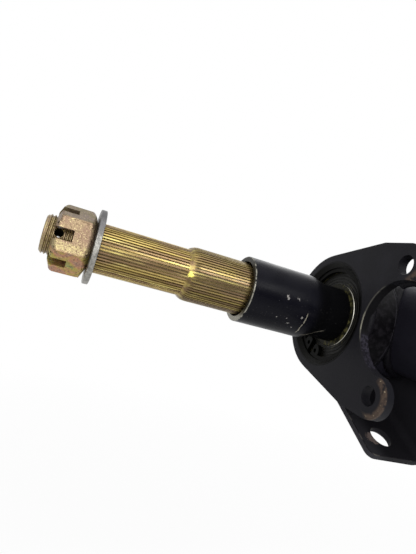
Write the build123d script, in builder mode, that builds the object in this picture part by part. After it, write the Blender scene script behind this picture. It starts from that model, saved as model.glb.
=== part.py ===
from build123d import *
import math
import os

# Rear axle shaft of a small quad, carried by two ball bearings in a welded swing arm.
# Millimetres. +X runs along the axle, -Y is forward to the pivot, +Z is up.
# The origin lies on the axle's axis, half way between the two wheel seats.

# Axle shaft
wheel_seat_x = 240.0          # centre to the shoulder that the washer bears on
thread_core_d = 16.8          # the thread's core; the thread itself isn't cut here
thread_showing = 4.3
thread_chamfer = 1.3
centre_drill_d = 4.0
hub_spline_d = 23.0
hub_spline_len = 41.3
hub_teeth = 51
disc_spline_d = 26.8
disc_spline_end = 80.0        # from the wheel seat to the inner end of the larger spline
disc_teeth = 60
ramp_len = 5.0
tooth_depth = 0.75
tooth_tip = 0.66
tooth_base = 1.0
journal_d = 28.0
cotter_d = 4.0
cotter_turn = 12.5            # degrees that the hole is turned upward from straight forward
cotter_setback = 17.4         # from the wheel seat to the cotter hole

# Slotted nut and washer
nut_flats = 27.0
nut_height = 17.0
nut_slot_w = 5.2
nut_slot_depth = 8.2
nut_chamfer_angle = 24.0
nut_face_share = 0.785        # diameter of the nut's end face over its width across flats
nut_turn = 8.0                # degrees that the front flat is turned upward
nut_bore_gap = 0.05
washer_d = 34.6
washer_bore = 19.0
washer_t = 2.6

# Spacer sleeve between the wheel side and the bearing
sleeve_d = 33.7
sleeve_gap = 0.05             # on the radius, over the journal
sleeve_end = 73.0             # from the wheel seat to the sleeve's outer end
nose_d = 29.4
nose_flare_len = 11.0
nose_len = 21.5
edge_break = 0.4

# Ball bearing
bearing_d = 52.0
bearing_w = 12.0
bearing_sink = 4.8            # below the carrier's outer face
inner_land_d = 34.8
outer_land_d = 45.2
ball_d = 7.14
ball_pitch_d = 40.0
ball_count = 10
ball_gap = 0.08
cage_wall = 2.8
cage_w = 8.6
pocket_gap = 0.12
seal_d = 47.0
seal_t = 0.9
seal_sink = 0.4
seal_lip_gap = 0.1

# Bearing carrier: a flange with two ears, and a hub behind it
carrier_face = 125.2          # from the wheel seat to the carrier's outer face
flange_t = 5.0
flange_boss_d = 65.2
hub_d = 60.6
hub_len = 20.5
shoulder_d = 46.0
mouth_chamfer = 2.2
ear_forward = 48.8
ear_spacing = 60.0
ear_r = 10.0
ear_hole_d = 9.0
ear_start = 32.0              # where the ears' edges turn towards the boss
boss_tangent = 6.5
notch_r = 22.0
notch_bottom = 31.2
notch_rise = 1.5
root_fillet = 1.5

# Internal snap ring
ring_t = 2.0
ring_width = 3.6
ring_groove_depth = 1.5
ring_gap = 0.05
ring_turn = 249.0             # degrees from straight forward, turning upward
ring_lug_r = 3.6
ring_lug_hole_d = 2.4
ring_lug_angle = 11.0         # each lug's centre, from the middle of the gap

# Tubes of the swing arm
tube_d = 54.0
tube_wall = 3.0
arm_d = 48.3
arm_wall = 2.6
arm_x = 69.7
arm_rise = 3.0
arm_cope_start = 12.0
pivot_forward = 270.0
pivot_wall = 6.0
pivot_overhang = 3.0
bush_len = 28.0
bush_flange_d = 51.0
bush_flange_t = 3.0
pivot_sleeve_d = 24.0
pivot_sleeve_proud = 0.5
pivot_bolt_hole = 14.2
running_gap = 0.05

# Folded lower bracket
bracket_tilt = 26.1
bracket_t = 3.0
bracket_drop = 34.8           # from the axle's axis to the bracket's underside
bracket_end = 100.0           # centre to the bracket's outer edge
bracket_reach = 64.4          # along the slope, from under the axle to the front edge
bracket_corner = 4.0
bracket_bend = 4.0            # radius on the inside of the fold
web_x = 70.0
bracket_hole_d = 11.0
bracket_hole_x = 86.5
bracket_hole_reach = 52.0
web_front = 88.0

# Shock absorber ears on the carrier tube
shock_ear_t = 5.0
shock_gap = 30.0
shock_ear_r = 13.0
shock_hole_d = 10.2
shock_reach = 56.0
shock_angle = 60.0            # above straight forward

# Worked out from the sizes above
stub_end = wheel_seat_x + washer_t + nut_height + thread_showing
carrier_x = wheel_seat_x - carrier_face
bearing_x = carrier_x - bearing_sink
bearing_mid = bearing_x - bearing_w / 2
hub_back = carrier_x - hub_len
tube_r = tube_d / 2
arm_r = arm_d / 2
pivot_x = arm_x + arm_r + pivot_overhang
tilt = math.radians(bracket_tilt)
SIDES = (("left", -1), ("right", 1))


def radial_plane(side):
    """Local X is the distance outward along the axle, local Y the radius."""
    return Plane(origin=(0, 0, 0), x_dir=(side, 0, 0), z_dir=(0, 0, side))


def cross_plane(x):
    """A plane across the axle: local X is forward, local Y is up, the normal is -X."""
    return Plane(origin=(x, 0, 0), x_dir=(0, -1, 0), z_dir=(-1, 0, 0))


def save(part, name):
    part.label = name
    export_step(part, f"parts/{name}.step")


def axle_bar(x0, x1, diameter, y=0.0, z=0.0):
    """A plain bar along X, made aside so that it can be taken from a sub-part."""
    return Pos((x0 + x1) / 2, y, z) * Rot(0, 90, 0) * Cylinder(diameter / 2, abs(x1 - x0))


def spline_ring(x, length, side, diameter, teeth):
    """One straight-toothed length of the shaft, its outer face at x."""
    root_r = diameter / 2 - tooth_depth
    with BuildPart() as ring:
        with BuildSketch(cross_plane(side * x)):
            Circle(root_r)
            with PolarLocations(0, teeth):
                Polygon(
                    (root_r - 0.2, -tooth_base / 2),
                    (diameter / 2, -tooth_tip / 2),
                    (diameter / 2, tooth_tip / 2),
                    (root_r - 0.2, tooth_base / 2),
                    align=None,
                )
        extrude(amount=side * length)
    return ring.part


def ramp_envelope(side):
    """The larger spline's envelope, with the rounded ramp at its outer end."""
    start = wheel_seat_x - hub_spline_len
    low = hub_spline_d / 2 - tooth_depth
    high = disc_spline_d / 2
    with BuildPart() as envelope:
        with BuildSketch(radial_plane(side)):
            with BuildLine():
                foot = Line((start, 0), (start, low))
                lip = Line(foot @ 1, (start, low + tooth_depth))
                ramp = Bezier(
                    lip @ 1,
                    (start - 0.35 * ramp_len, high - 0.1 * tooth_depth),
                    (start - ramp_len, high),
                )
                Polyline(ramp @ 1, (wheel_seat_x - disc_spline_end, high),
                         (wheel_seat_x - disc_spline_end, 0), foot @ 0)
            make_face()
        revolve(axis=Axis.X)
    return envelope.part


def axle_shaft():
    hub_rings = {}
    disc_rings = {}
    for name, side in SIDES:
        hub_rings[name] = spline_ring(wheel_seat_x, hub_spline_len, side, hub_spline_d, hub_teeth)
        disc_start = wheel_seat_x - hub_spline_len
        disc = spline_ring(disc_start, disc_spline_end - hub_spline_len, side, disc_spline_d, disc_teeth)
        disc_rings[name] = disc & ramp_envelope(side)
    with BuildPart() as shaft:
        with BuildSketch(Plane.YZ):
            Circle(journal_d / 2)
        extrude(amount=wheel_seat_x - disc_spline_end, both=True)
        for name, side in SIDES:
            add(disc_rings[name])
            add(hub_rings[name])
            with BuildSketch(radial_plane(side)):
                core_r = thread_core_d / 2
                Polygon(
                    (wheel_seat_x - 1, 0),
                    (wheel_seat_x - 1, core_r),
                    (stub_end - thread_chamfer, core_r),
                    (stub_end, core_r - thread_chamfer),
                    (stub_end, centre_drill_d / 2),
                    (stub_end - centre_drill_d * math.sin(math.radians(60)), 0),
                    align=None,
                )
            revolve(axis=Axis.X)
            hole_x = side * (wheel_seat_x + cotter_setback)
            with Locations(Location((hole_x, 0, 0), (90 - cotter_turn, 0, 0))):
                Cylinder(cotter_d / 2, thread_core_d + 2, mode=Mode.SUBTRACT)
    save(shaft.part, "axle_shaft")


def slotted_nut(name, side):
    inner = wheel_seat_x + washer_t
    outer = inner + nut_height
    face_r = nut_flats / 2 * nut_face_share
    corner_r = nut_flats / 2 / math.cos(math.radians(30)) + 0.1
    rise = (corner_r - face_r) * math.tan(math.radians(nut_chamfer_angle))
    with BuildPart() as nut:
        with BuildSketch(cross_plane(side * inner)):
            RegularPolygon(nut_flats / 2, 6, major_radius=False, rotation=30 + nut_turn)
        extrude(amount=-side * nut_height)
        with BuildSketch(radial_plane(side)):
            Polygon(
                (inner, 0), (inner, face_r), (inner + rise, corner_r),
                (outer - rise, corner_r), (outer, face_r), (outer, 0),
                align=None,
            )
        revolve(axis=Axis.X, mode=Mode.INTERSECT)
        with BuildSketch(cross_plane(side * inner)):
            Circle(thread_core_d / 2 + nut_bore_gap)
        extrude(amount=-side * nut_height, mode=Mode.SUBTRACT)
        with BuildSketch(cross_plane(side * outer)):
            for turn in (0, 60, 120):
                Rectangle(2 * corner_r + 2, nut_slot_w, rotation=nut_turn + turn)
        extrude(amount=side * nut_slot_depth, mode=Mode.SUBTRACT)
    save(nut.part, f"{name}_nut")


def washer(name, side):
    with BuildPart() as ring:
        with BuildSketch(cross_plane(side * wheel_seat_x)):
            Circle(washer_d / 2)
            Circle(washer_bore / 2, mode=Mode.SUBTRACT)
        extrude(amount=-side * washer_t)
        chamfer(ring.edges().filter_by(GeomType.CIRCLE), 0.25)
    save(ring.part, f"{name}_washer")


def spacer_sleeve(name, side):
    outer = wheel_seat_x - sleeve_end
    inner = bearing_x
    bore_r = journal_d / 2 + sleeve_gap
    flare_start = inner + nose_len - nose_flare_len
    with BuildPart() as sleeve:
        with BuildSketch(radial_plane(side)):
            with BuildLine():
                nose = Polyline((inner, bore_r), (inner, nose_d / 2 - 0.2), (inner + 0.2, nose_d / 2),
                                (flare_start, nose_d / 2))
                flare = Bezier(
                    nose @ 1,
                    (flare_start + 0.4 * nose_flare_len, nose_d / 2),
                    (flare_start + 0.6 * nose_flare_len, sleeve_d / 2),
                    (inner + nose_len, sleeve_d / 2),
                )
                Polyline(flare @ 1, (outer - edge_break, sleeve_d / 2), (outer, sleeve_d / 2 - edge_break),
                         (outer, bore_r + edge_break), (outer - edge_break, bore_r), nose @ 0)
            make_face()
        revolve(axis=Axis.X)
    save(sleeve.part, f"{name}_spacer_sleeve")


def inner_spacer():
    reach = bearing_x - bearing_w
    with BuildPart() as tube:
        with BuildSketch(Plane.YZ):
            Circle(inner_land_d / 2)
            Circle(journal_d / 2 + sleeve_gap, mode=Mode.SUBTRACT)
        extrude(amount=reach, both=True)
    save(tube.part, "inner_spacer_tube")


def bearing_rings(name, side):
    half = bearing_w / 2
    groove_r = ball_d / 2 + ball_gap
    with BuildPart() as outer:
        with BuildSketch(radial_plane(side)):
            Polygon(
                (bearing_mid - half, bearing_d / 2 - edge_break),
                (bearing_mid - half + edge_break, bearing_d / 2),
                (bearing_mid + half - edge_break, bearing_d / 2),
                (bearing_mid + half, bearing_d / 2 - edge_break),
                (bearing_mid + half, seal_d / 2),
                (bearing_mid + half - seal_sink - seal_t, seal_d / 2),
                (bearing_mid + half - seal_sink - seal_t, outer_land_d / 2),
                (bearing_mid - half + seal_sink + seal_t, outer_land_d / 2),
                (bearing_mid - half + seal_sink + seal_t, seal_d / 2),
                (bearing_mid - half, seal_d / 2),
                align=None,
            )
            with Locations((bearing_mid, ball_pitch_d / 2)):
                Circle(groove_r, mode=Mode.SUBTRACT)
        revolve(axis=Axis.X)
    save(outer.part, f"{name}_bearing_outer_ring")

    with BuildPart() as inner:
        with BuildSketch(radial_plane(side)):
            Polygon(
                (bearing_mid - half, journal_d / 2),
                (bearing_mid - half, inner_land_d / 2 - edge_break),
                (bearing_mid - half + edge_break, inner_land_d / 2),
                (bearing_mid + half - edge_break, inner_land_d / 2),
                (bearing_mid + half, inner_land_d / 2 - edge_break),
                (bearing_mid + half, journal_d / 2),
                align=None,
            )
            with Locations((bearing_mid, ball_pitch_d / 2)):
                Circle(groove_r, mode=Mode.SUBTRACT)
        revolve(axis=Axis.X)
    save(inner.part, f"{name}_bearing_inner_ring")


def balls_and_cage(name, side):
    ball_place = Plane(origin=(side * bearing_mid, 0, 0), x_dir=(0, -1, 0), z_dir=(-1, 0, 0))
    with BuildPart() as balls:
        with Locations(ball_place):
            with PolarLocations(ball_pitch_d / 2, ball_count):
                Sphere(ball_d / 2)
    save(balls.part, f"{name}_bearing_balls")

    with BuildPart() as cage:
        with BuildSketch(cross_plane(side * (bearing_mid + cage_w / 2))):
            Circle(ball_pitch_d / 2 + cage_wall / 2)
            Circle(ball_pitch_d / 2 - cage_wall / 2, mode=Mode.SUBTRACT)
        extrude(amount=side * cage_w)
        for ball in range(ball_count):
            with Locations(Location((side * bearing_mid, 0, 0), (ball * 360 / ball_count, 0, 0))):
                with Locations(Pos(0, -ball_pitch_d / 2, 0) * Rot(90, 0, 0)):
                    Cylinder(ball_d / 2 + pocket_gap, 3 * cage_wall, mode=Mode.SUBTRACT)
    save(cage.part, f"{name}_bearing_cage")


def bearing_seals(name, side):
    depth = bearing_w / 2 - seal_sink - seal_t
    for where, start in (("outer", bearing_mid + depth), ("inner", bearing_mid - depth - seal_t)):
        with BuildPart() as seal:
            with BuildSketch(radial_plane(side)):
                Polygon(
                    (start, inner_land_d / 2 + seal_lip_gap),
                    (start + seal_t, inner_land_d / 2 + seal_lip_gap),
                    (start + seal_t, seal_d / 2),
                    (start, seal_d / 2),
                    align=None,
                )
            revolve(axis=Axis.X)
        save(seal.part, f"{name}_bearing_{where}_seal")


def bearing_carrier(name, side):
    half_spacing = ear_spacing / 2
    outer_edge = half_spacing + ear_r
    with BuildPart() as carrier:
        with BuildSketch(cross_plane(side * carrier_x)) as outline:
            Circle(flange_boss_d / 2)
            Polygon(
                (-boss_tangent, -flange_boss_d / 2 + 0.6), (ear_start, -outer_edge),
                (ear_forward, -outer_edge), (ear_forward, outer_edge),
                (ear_start, outer_edge), (-boss_tangent, flange_boss_d / 2 - 0.6),
                align=None,
            )
            with Locations((ear_forward, half_spacing), (ear_forward, -half_spacing)):
                Circle(ear_r)
            with Locations((notch_bottom + notch_r, notch_rise)):
                Circle(notch_r, mode=Mode.SUBTRACT)
            with Locations((ear_forward + ear_r, 0)):
                Rectangle(2 * ear_r, ear_spacing - 2 * ear_r, mode=Mode.SUBTRACT)
        extrude(amount=side * flange_t)
        with BuildSketch(cross_plane(side * (carrier_x - flange_t))):
            Circle(hub_d / 2)
        extrude(amount=side * (hub_len - flange_t))
        root = carrier.edges().filter_by(GeomType.CIRCLE).filter_by(lambda edge: (
            abs(edge.radius - hub_d / 2) < 0.01 and abs(abs(edge.center().X) - carrier_x + flange_t) < 0.01))
        fillet(root, root_fillet)
        with BuildSketch(cross_plane(side * carrier_x)):
            with Locations((ear_forward, half_spacing), (ear_forward, -half_spacing)):
                Circle(ear_hole_d / 2)
        extrude(amount=side * flange_t, mode=Mode.SUBTRACT)
        groove_out = bearing_x + ring_t + ring_gap
        with BuildSketch(radial_plane(side)):
            Polygon(
                (carrier_x + 1, 0),
                (carrier_x + 1, bearing_d / 2 + mouth_chamfer + 1),
                (carrier_x - mouth_chamfer, bearing_d / 2),
                (groove_out, bearing_d / 2),
                (groove_out, bearing_d / 2 + ring_groove_depth),
                (bearing_x, bearing_d / 2 + ring_groove_depth),
                (bearing_x, bearing_d / 2),
                (bearing_x - bearing_w, bearing_d / 2),
                (bearing_x - bearing_w, shoulder_d / 2),
                (hub_back - 1, shoulder_d / 2),
                (hub_back - 1, 0),
                align=None,
            )
        revolve(axis=Axis.X, mode=Mode.SUBTRACT)
    save(carrier.part, f"{name}_bearing_carrier")


def snap_ring(name, side):
    outer_r = bearing_d / 2 + ring_groove_depth - 2 * ring_gap
    lug_r = outer_r - ring_gap - ring_lug_r - ring_groove_depth
    with BuildPart() as ring:
        with BuildSketch(cross_plane(side * bearing_x)):
            Circle(outer_r)
            Circle(outer_r - ring_width, mode=Mode.SUBTRACT)
            for way in (-1, 1):
                turn = math.radians(ring_turn + way * ring_lug_angle)
                with Locations((lug_r * math.cos(turn), lug_r * math.sin(turn))):
                    Circle(ring_lug_r)
            gap_turn = math.radians(ring_turn)
            reach = outer_r - ring_width / 2
            with Locations((reach * math.cos(gap_turn), reach * math.sin(gap_turn))):
                Rectangle(4 * ring_lug_r, 1.1 * ring_lug_r, rotation=ring_turn, mode=Mode.SUBTRACT)
            for way in (-1, 1):
                turn = math.radians(ring_turn + way * ring_lug_angle)
                with Locations((lug_r * math.cos(turn), lug_r * math.sin(turn))):
                    Circle(ring_lug_hole_d / 2, mode=Mode.SUBTRACT)
        extrude(amount=-side * ring_t)
    save(ring.part, f"{name}_snap_ring")


def carrier_tube():
    with BuildPart() as tube:
        with BuildSketch(Plane.YZ):
            Circle(tube_r)
            Circle(tube_r - tube_wall, mode=Mode.SUBTRACT)
        extrude(amount=hub_back, both=True)
    save(tube.part, "carrier_tube")


def swing_arm(name, side):
    rear_cut = axle_bar(-wheel_seat_x, wheel_seat_x, tube_d)
    front_cut = axle_bar(-wheel_seat_x, wheel_seat_x, tube_d, -pivot_forward, arm_rise)
    start = Plane(origin=(side * arm_x, -arm_cope_start, arm_rise), x_dir=(1, 0, 0), z_dir=(0, -1, 0))
    with BuildPart() as arm:
        with BuildSketch(start):
            Circle(arm_r)
            Circle(arm_r - arm_wall, mode=Mode.SUBTRACT)
        extrude(amount=pivot_forward - 2 * arm_cope_start)
        add(rear_cut, mode=Mode.SUBTRACT)
        add(front_cut, mode=Mode.SUBTRACT)
    save(arm.part, f"{name}_swing_arm")


def pivot_tube():
    with BuildPart() as tube:
        with BuildSketch(Plane.YZ):
            with Locations((-pivot_forward, arm_rise)):
                Circle(tube_r)
                Circle(tube_r - pivot_wall, mode=Mode.SUBTRACT)
        extrude(amount=pivot_x, both=True)
    save(tube.part, "pivot_tube")


def pivot_bush(name, side):
    bore_r = pivot_sleeve_d / 2 + running_gap
    with BuildPart() as bush:
        with BuildSketch(radial_plane(side)):
            Polygon(
                (pivot_x - bush_len, bore_r),
                (pivot_x - bush_len, tube_r - pivot_wall - edge_break),
                (pivot_x - bush_len + edge_break, tube_r - pivot_wall),
                (pivot_x, tube_r - pivot_wall),
                (pivot_x, bush_flange_d / 2),
                (pivot_x + bush_flange_t, bush_flange_d / 2),
                (pivot_x + bush_flange_t, bore_r),
                align=None,
            )
        revolve(axis=Axis.X)
    save(Pos(0, -pivot_forward, arm_rise) * bush.part, f"{name}_pivot_bush")


def pivot_sleeve():
    reach = pivot_x + bush_flange_t + pivot_sleeve_proud
    with BuildPart() as sleeve:
        with BuildSketch(Plane.YZ):
            with Locations((-pivot_forward, arm_rise)):
                Circle(pivot_sleeve_d / 2)
                Circle(pivot_bolt_hole / 2, mode=Mode.SUBTRACT)
        extrude(amount=reach, both=True)
    save(sleeve.part, "pivot_sleeve")


def lower_bracket(name, side):
    """A folded plate: a sloping foot with a hole, and a web up to the arm and the tube."""
    slope = Vector(0, -math.cos(tilt), -math.sin(tilt))
    down = Vector(0, math.sin(tilt), -math.cos(tilt))
    underside = down * bracket_drop
    section_plane = Plane(origin=underside, x_dir=(side, 0, 0), z_dir=slope * side)
    foot_plane = Plane(origin=underside, x_dir=(side, 0, 0), z_dir=down * side)
    web_rise = 2 * bracket_t + bracket_bend
    web_low = underside - down * (bracket_t + bracket_bend)
    web_tip = web_low + slope * bracket_reach
    arm_cut = Rot(90, 0, 0) * Cylinder(arm_r, pivot_forward)
    arm_cut = Pos(side * arm_x, -pivot_forward / 2, arm_rise) * arm_cut
    tube_cut = axle_bar(-wheel_seat_x, wheel_seat_x, tube_d)
    with BuildPart() as bracket:
        with BuildSketch(section_plane) as section:
            Polygon(
                (bracket_end, 0), (web_x - bracket_t, 0), (web_x - bracket_t, web_rise),
                (web_x, web_rise), (web_x, bracket_t), (bracket_end, bracket_t),
                align=None,
            )
            outside_corner = section.vertices().sort_by_distance((web_x - bracket_t, 0))[0]
            fillet(outside_corner, bracket_bend + bracket_t)
            inside_corner = section.vertices().sort_by_distance((web_x, bracket_t))[0]
            fillet(inside_corner, bracket_bend)
        extrude(amount=side * bracket_reach)
        foot_corners = bracket.edges().filter_by(
            lambda edge: abs(edge.center().X) > bracket_end - 0.1 and abs(edge.length - bracket_t) < 0.1)
        fillet(foot_corners, bracket_corner)
        with BuildSketch(foot_plane):
            with Locations((bracket_hole_x, bracket_hole_reach)):
                Circle(bracket_hole_d / 2)
        extrude(amount=-side * bracket_t, mode=Mode.SUBTRACT)
        with BuildSketch(cross_plane(side * web_x)):
            Polygon(
                (-web_low.Y, web_low.Z),
                (-web_tip.Y, web_tip.Z),
                (web_front, arm_rise - arm_r + bracket_t),
                (web_front, arm_rise),
                (-web_low.Y, 0),
                align=None,
            )
        extrude(amount=side * bracket_t)
        add(arm_cut, mode=Mode.SUBTRACT)
        add(tube_cut, mode=Mode.SUBTRACT)
    save(bracket.part, f"{name}_lower_bracket")


def shock_ear(name, side):
    angle = math.radians(shock_angle)
    eye = (shock_reach * math.cos(angle), shock_reach * math.sin(angle))
    side_x = shock_ear_r * math.sin(angle)
    side_y = shock_ear_r * math.cos(angle)
    with BuildPart() as ear:
        with BuildSketch(cross_plane(side * (shock_gap / 2 + shock_ear_t))):
            with Locations(eye):
                Circle(shock_ear_r)
            Polygon(
                (eye[0] - side_x, eye[1] + side_y), (eye[0] + side_x, eye[1] - side_y),
                (1.7 * side_x, -1.7 * side_y), (-1.7 * side_x, 1.7 * side_y),
                align=None,
            )
            Circle(tube_r, mode=Mode.SUBTRACT)
            with Locations(eye):
                Circle(shock_hole_d / 2, mode=Mode.SUBTRACT)
        extrude(amount=side * shock_ear_t)
    save(ear.part, f"{name}_shock_ear")


os.makedirs("parts", exist_ok=True)
axle_shaft()
inner_spacer()
carrier_tube()
pivot_tube()
pivot_sleeve()
for side_name, side_sign in SIDES:
    slotted_nut(side_name, side_sign)
    washer(side_name, side_sign)
    spacer_sleeve(side_name, side_sign)
    bearing_rings(side_name, side_sign)
    balls_and_cage(side_name, side_sign)
    bearing_seals(side_name, side_sign)
    bearing_carrier(side_name, side_sign)
    snap_ring(side_name, side_sign)
    swing_arm(side_name, side_sign)
    pivot_bush(side_name, side_sign)
    lower_bracket(side_name, side_sign)
    shock_ear(side_name, side_sign)
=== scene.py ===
"""The looks of the rear axle shaft: softened edges, threads, welds, finishes, studio and camera."""
import math

import bmesh
import bpy
from mathutils import Matrix, Vector


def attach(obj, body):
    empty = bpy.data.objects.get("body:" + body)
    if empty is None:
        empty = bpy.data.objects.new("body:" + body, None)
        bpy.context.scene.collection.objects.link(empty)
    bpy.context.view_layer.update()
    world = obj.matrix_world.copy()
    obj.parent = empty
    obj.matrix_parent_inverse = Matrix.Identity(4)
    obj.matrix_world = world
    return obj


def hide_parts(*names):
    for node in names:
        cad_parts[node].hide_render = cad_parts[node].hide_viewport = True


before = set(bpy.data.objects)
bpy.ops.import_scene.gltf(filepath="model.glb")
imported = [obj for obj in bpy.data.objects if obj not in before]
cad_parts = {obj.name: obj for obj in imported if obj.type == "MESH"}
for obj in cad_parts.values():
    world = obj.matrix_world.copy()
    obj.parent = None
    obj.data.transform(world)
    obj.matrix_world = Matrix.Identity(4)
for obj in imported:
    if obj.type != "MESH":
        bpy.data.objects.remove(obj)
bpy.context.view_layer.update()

MM = 0.001
SIDES = (("left", -1), ("right", 1))

# Places on the part, in millimetres, as the solids have them
STUB_END = 263.9
STUB_CHAMFER = 1.3
THREAD_START = 243.0          # inside the nut
THREAD_PITCH = 1.5
THREAD_R = 9.0
THREAD_ROOT_R = 8.32
THREAD_CORE_R = 8.4
COTTER_X = 257.4
COTTER_R = 2.0
COTTER_TURN = 12.5            # degrees above straight forward
NUT_R = 13.5                  # to the middle of a flat
NUT_MIDDLE_X = 251.1
SLOT_HALF = 2.6               # half the width of a nut's slot
HUB_SPLINE_R = 11.5
DISC_SPLINE_R = 13.4
SPLINE_STEP = 198.7           # where the smaller spline ends and the ramp begins
SLEEVE_END = 167.0
SLEEVE_R = 16.85
NOSE_END = 131.5              # where the sleeve's narrow nose has reached its full width
CARRIER_FACE = 114.8
FLANGE_BACK = 109.8
HUB_BACK = 94.3
HUB_R = 30.3
MOUTH_R = 28.2
BEARING_BACK = 98.0
SEAL_FACE = 109.6
INNER_LAND_R = 17.4
OUTER_LAND_R = 22.6
EAR_FORWARD = 48.8
EAR_UP = 30.0
EAR_R = 10.0
NOTCH_FORWARD = 53.2
NOTCH_UP = 1.5
NOTCH_R = 22.0
TUBE_R = 27.0
ARM_X = 69.7
ARM_R = 24.15
ARM_RISE = 3.0
PIVOT_Y = -270.0
BRACKET_END = 100.0

# Chips in the sleeve's paint: millimetres along the axle, degrees above forward, and each chip's own radius
SLEEVE_CHIPS = (
    (148.5, 8.1, 0.75), (147.6, 6.0, 0.5), (142.3, 10.0, 0.75), (142.8, -36.4, 0.45),
    (137.4, -19.8, 0.45), (145.0, -28.0, 0.3), (139.5, -44.0, 0.35), (150.5, -30.0, 0.3),
)

# Other marks that the photograph shows, in millimetres
# RAMP_GLINT places a painted highlight on the ramp, not a mark.
RAMP_GLINT = (197.5, 0.2, 12.7)          # along the axle, degrees above forward, distance from the axis
RAMP_GLINT_R = 1.5
BRACKET_PATCH = (92.9, -34.5, -52.3)     # along the axle, Y and Z
BRACKET_PATCH_R = 3.6
BOW_X = 134.2                            # along the axle, where the sleeve's bowed scratch lies
SLANT_X = 100.75                         # along the axle, where its slanting scratch would point forward
SLANT = -0.5                             # along the axle for each degree above forward

# Roundings, weld beads and ridges, in millimetres
NUT_ROUNDING = 1.3
WASHER_ROUNDING = 0.2
CARRIER_ROUNDING = 0.45
BRACKET_ROUNDING = 0.35
SHOCK_EAR_ROUNDING = 0.4
HUB_BEAD_R = 2.1
FLANGE_BEAD_R = 1.9
NOTCH_BEAD_R = 2.3
ARM_BEAD_R = 2.3
BEAD_RIPPLE = 1.5             # from one ripple of a weld bead to the next
RIDGE_RIPPLE = 1000.0         # far longer than a ridge, so that ridges look even
RIDGE_R = 0.32
RIDGE_SINK = 0.05
SEAL_RIDGES = (("inner", 18.7), ("middle", 20.4), ("outer", 22.1))

# Points of a copied mesh nearer than this many millimetres become one
MERGE_GAP = 0.002

# Angles between faces, in degrees
ONE_FACE = 0.6                # faces that meet at less than this become one
ROUNDED_EDGE = 28.0           # edges sharper than this are rounded
SHARP_NUT_EDGE = 20.0         # edges of a nut sharper than this are shaded as edges
NUT_CREASE = 15.0             # edges of a nut flatter than this aren't rounded

# The photograph's camera, fitted to its outlines: place in millimetres, and directions
CAMERA_PLACE = (-253.03, -205.83, 1.07)
CAMERA_FORWARD = (0.3135, 0.9496, 0.0)
CAMERA_UP = (-0.2602, 0.0859, 0.9617)
FOCAL_PIXELS = 438.0
LONG_SIDE_PIXELS = 554.0
SENSOR_WIDTH = 36.0           # along the picture's longer side
CLIP_START = 0.005            # metres

# The studio, in metres, and shares of white from 0 to 1
FLOOR_Z = -0.36
FLOOR_REACH = 4.0
SHADOW_END = 0.45             # up to here the floor shows the part's soft shadow
PLAIN_START = 1.1             # past here it is plain white to the camera
SHADOW_GLOW = 0.88            # share of plain white where it shows the shadow
FLOOR_SHADE = 0.85            # its colour under the light
WORLD_LIGHT = 0.45            # the world's strength as a light; where it is seen, it is 1

# Lamps: name, place, the point they face, width and height in metres, and watts
LAMPS = (
    ("top", (-0.20, -0.25, 0.95), (-0.15, 0, 0), (0.9, 0.7), 3.5),
    ("key", (-0.95, -0.75, 0.55), (-0.15, 0, 0), (0.8, 0.8), 6),
    ("front", (-0.50, -0.95, 0.20), (-0.24, 0, 0), (0.5, 0.4), 3),
    ("right", (0.23, -0.97, 0.64), (-0.14, 0, 0), (0.45, 0.45), 5),
    ("low", (-0.05, -0.27, -0.30), (-0.19, 0, 0), (0.3, 0.3), 0.2),
    ("back", (0.6, 0.7, 0.6), (0, 0, 0), (0.8, 0.8), 3),
)


def millimetres(x, y, z):
    """A place given in millimetres, in the scene's metres."""
    return Vector((x, y, z)) * MM


def on_cylinder(along, turn, radius):
    """A point on a cylinder about the axle, in millimetres; turn is in degrees above straight forward."""
    angle = math.radians(turn)
    return along, -radius * math.cos(angle), radius * math.sin(angle)


def rgb(red, green, blue):
    """An opaque colour."""
    return (red, green, blue, 1.0)


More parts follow.
